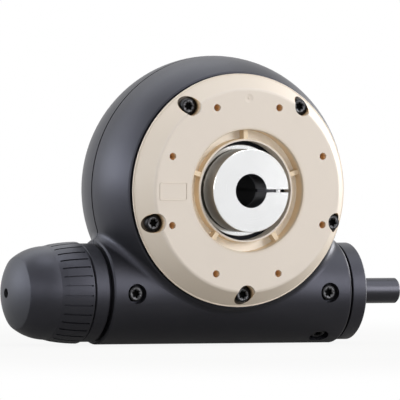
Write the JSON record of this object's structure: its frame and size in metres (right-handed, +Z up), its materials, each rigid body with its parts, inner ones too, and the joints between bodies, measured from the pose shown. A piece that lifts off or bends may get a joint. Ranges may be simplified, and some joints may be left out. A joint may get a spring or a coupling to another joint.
{
  "type": "worm gear reducer",
  "caption": "Drum-shaped worm gear reducer with a bolt-on bearing flange, a slotted clamp hub output, and a cross worm with a shaft stub and a ribbed grip knob.",
  "frame": {"origin": "centre of the bearing flange's front face, on the output axis", "axes": "+X along the worm towards the shaft stub, +Y into the housing along the output axis, +Z up"},
  "size_m": [0.2025, 0.0686, 0.1356],
  "materials": {
    "housing_plastic": "fine-grained satin black moulding",
    "knob_plastic": "satin black moulding",
    "flange_polymer": "cream bearing polymer, moulded",
    "bush_polymer": "cream bearing polymer, turned",
    "wheel_polymer": "dry-running black polymer",
    "hub_aluminium": "fine-turned",
    "shaft_aluminium": "dark hard-anodised",
    "screw_black": "blackened steel",
    "clamp_steel": "bright steel",
    "washer_steel": "ground"
  },
  "bodies": {
    "housing": {"front_housing": "housing_plastic", "rear_housing": "housing_plastic", "housing_screws": "screw_black", "bearing_flange": "flange_polymer", "flange_screws": "screw_black", "rear_bearing_bush": "bush_polymer", "left_worm_bush": "bush_polymer", "right_worm_bush": "bush_polymer", "left_bearing_carrier": "housing_plastic", "right_bearing_carrier": "housing_plastic", "left_carrier_screw": "screw_black", "right_carrier_screws": "screw_black"},
    "output": {"worm_wheel": "wheel_polymer", "output_hub": "hub_aluminium", "hub_screws": "screw_black", "clamp_screw": "clamp_steel"},
    "worm": {"worm_shaft": "shaft_aluminium", "left_thrust_washer": "washer_steel", "right_thrust_washer": "washer_steel", "grip_knob": "knob_plastic"}
  },
  "joints": [
    {"name": "output_turn", "type": "hinge", "parent": "housing", "child": "output", "pos_m": [0, 0, 0], "axis": [0, 1, 0], "continuous": true},
    {"name": "worm_turn", "type": "hinge", "parent": "housing", "child": "worm", "pos_m": [0, 0.0385, -0.0484], "axis": [1, 0, 0], "continuous": true}
  ],
  "couplings": [
    {"joint": "worm_turn", "follows": "output_turn", "ratio": 38}
  ]
}
